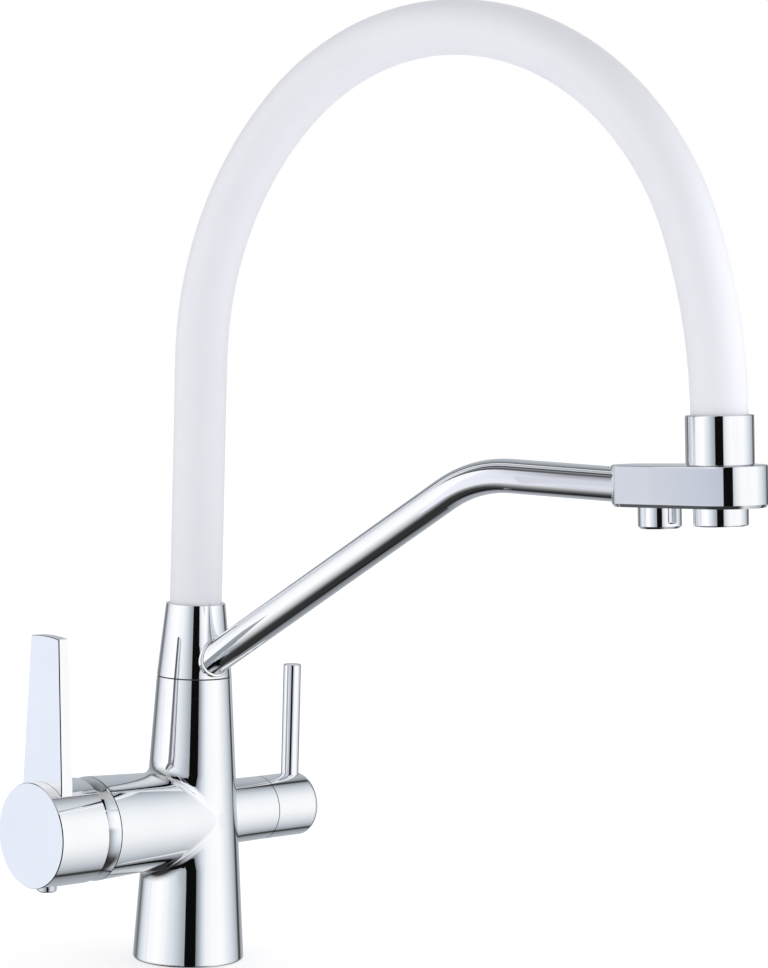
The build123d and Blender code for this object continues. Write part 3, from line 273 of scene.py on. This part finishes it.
def addSheet(name, points, colours):
    # grid of points, columns by rows, with a colour at each; only mirrors see it
    columns, rows = points.shape[:2]
    first = (np.arange(columns - 1)[:, None] * rows + np.arange(rows - 1)).ravel()
    faces = np.stack((first, first + rows, first + rows + 1, first + 1), axis=1)
    material, glow = glowMaterial(name + "Glow")
    material.cycles.emission_sampling = "NONE"
    tree = material.node_tree
    read = newNode(tree, "ShaderNodeAttribute", (-250, -300), attribute_name="tone")
    tree.links.new(read.outputs["Color"], glow.inputs["Color"])
    sheet = stageObject(name, points.reshape(-1, 3), faces.tolist(), material)
    tone = sheet.data.attributes.new("tone", "FLOAT_COLOR", "POINT")
    tone.data.foreach_set("color", np.insert(colours.reshape(-1, 3), 3, 1.0, axis=1).ravel())
    sheet.visible_camera = False
    sheet.visible_diffuse = False
    sheet.visible_shadow = False


def mirrored(points, normals, throw):
    # each sight line to a point, mirrored in the face there and followed for the throw
    sight = points - np.array(scene.camera.matrix_world.translation)
    sight -= 2 * (sight * normals).sum(axis=1)[:, None] * normals
    sight /= np.linalg.norm(sight, axis=1)[:, None]
    return points + sight * throw


# sheet with a black strip towards the camera: distance to the right of the column's axis and grey, as the low
# and the high parts see it
frontSheet = {
    "away": 0.92,
    "sides": (-1.1, 1.1, 45),
    "heights": (-2.2, 2.8, 51),
    "level": 0.1,
    "strip": (-0.121, 0.249),
    "stripGrey": 0.004,
    "edge": 0.004,
    "lowTones": (
        (-1.1, 0.93), (-0.92, 0.86), (-0.64, 0.76), (-0.43, 0.63), (-0.25, 0.48), (-0.12, 0.38),
        (0.25, 0.22), (0.37, 0.45), (0.5, 0.71), (0.65, 0.9), (0.85, 0.95), (1.1, 0.98),
    ),
    "highTones": (
        (-1.1, 0.98), (-0.78, 0.88), (-0.53, 0.75), (-0.31, 0.53), (-0.12, 0.36),
        (0.25, 0.62), (0.32, 0.8), (0.42, 0.92), (0.6, 1.0), (1.1, 0.98),
    ),
    "blend": (0.11, 0.25),
}


def addFrontSheet(setup):
    # upright grid of sides by heights; its grey is the low or the high tone at that side, times the share
    # that the world has at that climb; inside the strip it is black
    left, last = setup["strip"]
    sharp = (left - setup["edge"], left, last, last + setup["edge"])
    sides = np.unique(np.concatenate((np.linspace(*setup["sides"]), sharp)))
    heights = np.unique(np.concatenate((np.linspace(*setup["heights"]), setup["blend"])))
    low, high = (np.interp(sides, *np.transpose(setup[key]))[:, None] for key in ("lowTones", "highTones"))
    blend = np.interp(heights, setup["blend"], (0, 1))
    climb = np.degrees(np.arctan2(heights - setup["level"], np.hypot(setup["away"], sides)[:, None]))
    greys = (low * (1 - blend) + high * blend) * np.interp(climb, *np.transpose(studio["riseNear"]))
    colours = cooled(greys, studio["gain"], studio["coolness"])
    colours[(sides >= left) & (sides <= last)] = setup["stripGrey"]
    points = frontward * setup["away"] + sides[:, None, None] * rightward + np.multiply.outer(heights, upward)
    addSheet("frontSheet", points, colours)


# card whose mirror image fills the flat faces of the mixer handle: outward normal and corners in metres
handleCard = {
    "normal": (-1.0, 0.0, 0.0),
    "corners": (
        (-0.088, -0.024, 0.04), (-0.088, 0.024, 0.04), (-0.088, 0.024, 0.155), (-0.088, -0.024, 0.155),
    ),
    "throw": 0.6,
    "grow": 1.1,
    "colour": (0.89, 0.94, 1.04),
}


def addHandleCard(setup):
    # mirrored corners, grown about their middle
    corners = np.array(setup["corners"])
    points = mirrored(corners, np.array(setup["normal"]) + np.zeros_like(corners), setup["throw"])
    middle = points.mean(axis=0)
    card = addCard("handleCard", middle + (points - middle) * setup["grow"], setup["colour"])
    card.visible_diffuse = False


# ribbon whose mirror image fills the near side of the head block as far as its dark band
headRibbon = {
    "farCentre": (0.05296, -0.27221, 0.23388),
    "along": (0.20125, -0.9779, 0.05669),
    "farRadius": 0.016,
    "nearRadius": 0.01,
    "span": 0.0443,
    "low": -0.0074,
    "high": 0.0083,
    "firstTurn": -24.0,
    "lastTurn": 21.5,
    "steps": 12,
    "throw": 0.25,
    "nearThrow": 0.06,
    "colours": ((0.715, 0.735, 0.8), (0.57, 0.61, 0.72)),
    "blend": 2.5,
}


def addHeadRibbon(setup):
    # plan of the block's near side: near arc of a tapered slot, flank, then far arc to the last turn; the
    # mirrored low and high edges are the ribbon's two sides
    along = np.array(setup["along"])
    across = np.cross(along, upward)
    across /= np.linalg.norm(across)
    up = np.cross(across, along)
    taper = math.asin((setup["farRadius"] - setup["nearRadius"]) / setup["span"])
    first, last = (math.radians(setup[key]) for key in ("firstTurn", "lastTurn"))
    steps = setup["steps"]
    turns = np.concatenate((np.linspace(first, -taper, steps), np.linspace(-taper, last, steps)))
    near = np.arange(2 * steps)[:, None] < steps
    normals = np.sin(turns)[:, None] * along + np.cos(turns)[:, None] * across
    centres = np.array(setup["farCentre"]) - near * along * setup["span"]
    contour = centres + np.where(near, setup["nearRadius"], setup["farRadius"]) * normals
    throws = np.where(near, setup["nearThrow"], setup["throw"])
    edges = np.stack([mirrored(contour + up * setup[key], normals, throws) for key in ("low", "high")])
    lengths = np.linalg.norm(np.diff(contour, axis=0), axis=1)
    share = np.insert(np.cumsum(lengths), 0, 0.0)[:, None] / lengths.sum()
    nearTone, farTone = (np.array(colour) for colour in setup["colours"])
    tones = nearTone + share ** setup["blend"] * (farTone - nearTone)
    addSheet("headRibbon", edges, np.stack((tones, tones)))


# sheet beside the level part of the arm: reach from the head's centre along the arm, distance away from the
# arm's axis, and heights with their greys; it fades to the tent's white towards the bend
armSheet = {
    "along": (0.2014, -0.9795, 0.0),
    "across": (-0.9795, -0.2014, 0.0),
    "reach": (-0.165, -0.079, 34),
    "fade": (-0.165, -0.115),
    "away": 0.057,
    "tones": (
        (-0.06, 0.7), (-0.027, 0.83), (-0.012, 0.745), (0.01, 0.73), (0.018, 0.6), (0.036, 0.42),
        (0.045, 0.27),
    ),
    "colour": (0.96, 0.985, 1.07),
}
# its upper part, which doesn't fade
armShade = {
    **armSheet,
    "reach": (-0.27, -0.079, 34),
    "fade": (-0.28, -0.27),
    "tones": (
        (0.045, 0.27), (0.055, 0.12), (0.068, 0.09), (0.08, 0.3), (0.09, 0.32), (0.102, 0.08), (0.16, 0.06),
    ),
}


def addArmSheet(name, setup):
    # upright grid of reaches along the arm by heights; its grey is the height's, mixed with white by the fade
    reach = np.linspace(*setup["reach"])
    heights, greys = np.transpose(setup["tones"])
    white = 1 - np.interp(reach, setup["fade"], (0, 1))[:, None]
    tones = greys * (1 - white) + white
    start = np.array(headRibbon["farCentre"]) + setup["away"] * np.array(setup["across"])
    line = np.multiply.outer(reach, setup["along"])[:, None]
    points = start + line + np.multiply.outer(heights, upward)
    addSheet(name, points, tones[..., None] * np.array(setup["colour"]))


# light for the right side of the hose's lower end: distances from the column's axis and the floor
hoseLight = {
    "right": 0.31,
    "front": 0.21,
    "height": 0.35,
    "size": 0.17,
    "colour": (1.65, 1.65, 1.68),
}


def addHoseLight(setup):
    # upright square card beside the hose; only matt surfaces get its light
    middle = rightward * setup["right"] + frontward * setup["front"] + upward * setup["height"]
    half = setup["size"] / 2
    signs = np.array(((-1, -1), (1, -1), (1, 1), (-1, 1)))
    corners = middle + half * (signs[:, :1] * frontward + signs[:, 1:] * upward)
    card = addCard("hoseLight", corners, setup["colour"])
    card.visible_glossy = False


addFrontSheet(frontSheet)
addHandleCard(handleCard)
addHeadRibbon(headRibbon)
addArmSheet("armSheet", armSheet)
addArmSheet("armShade", armShade)
addHoseLight(hoseLight)
print("cards and sheets set")

# Finishes: dark and light colour, least and most roughness, and how fine the clouds and the grain are
finishes = {
    "chrome": {
        "metal": 1.0, "dark": (0.86, 0.87, 0.89), "light": (0.93, 0.935, 0.95), "gloss": (0.02, 0.045),
        "cloudScale": 30.0,
    },
    "brass": {
        "metal": 1.0, "dark": (0.62, 0.45, 0.2), "light": (0.75, 0.58, 0.3), "gloss": (0.25, 0.4),
        "cloudScale": 60.0,
    },
    "steel": {
        "metal": 1.0, "dark": (0.5, 0.5, 0.52), "light": (0.66, 0.66, 0.68), "gloss": (0.25, 0.4),
        "cloudScale": 80.0,
    },
    "plastic": {
        "metal": 0.0, "dark": (0.72, 0.72, 0.71), "light": (0.82, 0.82, 0.81), "gloss": (0.4, 0.55),
        "cloudScale": 50.0,
    },
    "ceramic": {
        "metal": 0.0, "dark": (0.8, 0.79, 0.76), "light": (0.88, 0.87, 0.85), "gloss": (0.2, 0.3),
        "cloudScale": 90.0,
    },
    "rubber": {
        "metal": 0.0, "dark": (0.02, 0.02, 0.02), "light": (0.04, 0.04, 0.04), "gloss": (0.55, 0.7),
        "cloudScale": 120.0, "bump": 0.2, "grainScale": 900.0,
    },
    "hose": {
        "metal": 0.0, "dark": (0.78, 0.79, 0.845), "light": (0.82, 0.83, 0.875), "gloss": (0.38, 0.48),
        "cloudScale": 25.0, "bump": 0.05, "grainScale": 700.0,
        "extra": {"Sheen Weight": 0.35, "Sheen Roughness": 0.4},
    },
    # near-black finish for the slip ring: painted shade that stands in for the shade inside the ring's groove
    "seamGrooveShade": {
        "metal": 0.0, "dark": (0.03, 0.03, 0.032), "light": (0.05, 0.05, 0.055), "gloss": (0.5, 0.6),
        "cloudScale": 150.0,
    },
    "plug": {
        "metal": 1.0, "dark": (0.6, 0.61, 0.64), "light": (0.7, 0.71, 0.74), "gloss": (0.08, 0.14),
        "cloudScale": 200.0,
    },
}
cloudDetail = 4.0
grainDetail = 3.0
bumpHeight = 0.0002  # metres
# the slip ring takes the near-black finish, painted shade for its groove
ownFinish = {"slip_ring": "seamGrooveShade"}  # nodes whose finish isn't their material slot's


def finish(name, look):
    # principled finish with a cloudy change of colour and gloss, and a fine bump, all on Object coordinates
    material = bpy.data.materials.new(name)
    material.use_nodes = True
    tree = material.node_tree
    link = tree.links.new
    shader = tree.nodes["Principled BSDF"]
    shader.inputs["Metallic"].default_value = look["metal"]
    for socket, value in look.get("extra", {}).items():
        shader.inputs[socket].default_value = value
    coords = newNode(tree, "ShaderNodeTexCoord", (-900, 0))
    cloud = newNode(tree, "ShaderNodeTexNoise", (-700, 100))
    cloud.inputs["Scale"].default_value = look["cloudScale"]
    cloud.inputs["Detail"].default_value = cloudDetail
    link(coords.outputs["Object"], cloud.inputs["Vector"])
    tint = newNode(tree, "ShaderNodeMix", (-450, 200), data_type="RGBA")
    tint.inputs["A"].default_value = (*look["dark"], 1)
    tint.inputs["B"].default_value = (*look["light"], 1)
    link(cloud.outputs["Fac"], tint.inputs["Factor"])
    link(tint.outputs["Result"], shader.inputs["Base Color"])
    gloss = mapRange(tree, (-450, -40), cloud.outputs["Fac"], (0, 1), look["gloss"])
    link(gloss, shader.inputs["Roughness"])
    if "bump" in look:
        grain = newNode(tree, "ShaderNodeTexNoise", (-700, -260))
        grain.inputs["Scale"].default_value = look["grainScale"]
        grain.inputs["Detail"].default_value = grainDetail
        link(coords.outputs["Object"], grain.inputs["Vector"])
        bump = newNode(tree, "ShaderNodeBump", (-250, -260))
        bump.inputs["Strength"].default_value = look["bump"]
        bump.inputs["Distance"].default_value = bumpHeight
        link(grain.outputs["Fac"], bump.inputs["Height"])
        link(bump.outputs["Normal"], shader.inputs["Normal"])
    return material


materials = {slot: finish(slot + "Finish", look) for slot, look in finishes.items()}
for entry in frame["record"]["subparts"]:
    mesh = nodes[entry["node"]].data
    mesh.materials.clear()
    mesh.materials.append(materials[ownFinish.get(entry["node"], entry["material_slot"])])
print("finishes on", len(nodes), "nodes")
